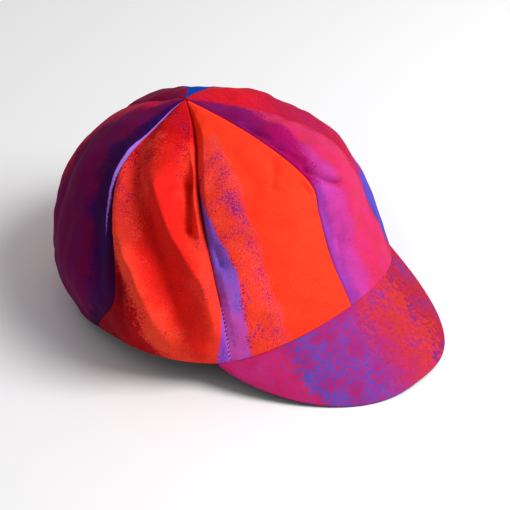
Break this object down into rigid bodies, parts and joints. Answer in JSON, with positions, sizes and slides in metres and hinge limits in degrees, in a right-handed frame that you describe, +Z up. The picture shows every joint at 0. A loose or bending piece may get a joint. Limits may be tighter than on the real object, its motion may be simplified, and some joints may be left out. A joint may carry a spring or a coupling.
{
  "type": "cycling cap",
  "caption": "Soft cotton cycling cap with a sewn crown of puffed panels, a short arched peak and an inner sweatband.",
  "frame": {"origin": "on the surface that the cap rests on, under the middle of the cap's box", "axes": "+Z up, the peak points along -Y, +X is the wearer's left"},
  "size_m": [0.1906, 0.2502, 0.1206],
  "materials": {
    "orange_cotton": "matte woven cotton",
    "magenta_cotton": "matte woven cotton",
    "red_cotton": "matte woven cotton",
    "crimson_cotton": "matte woven cotton",
    "plum_cotton": "matte woven cotton",
    "wine_cotton": "matte woven cotton",
    "violet_cotton": "matte woven cotton",
    "band_cotton": "matte woven cotton"
  },
  "bodies": {
    "root": {"front_right_panel": "orange_cotton", "front_left_panel": "magenta_cotton", "side_right_panel": "red_cotton", "side_left_panel": "crimson_cotton", "rear_right_panel": "plum_cotton", "rear_left_panel": "wine_cotton", "peak": "violet_cotton", "sweatband": "band_cotton"}
  },
  "joints": []
}
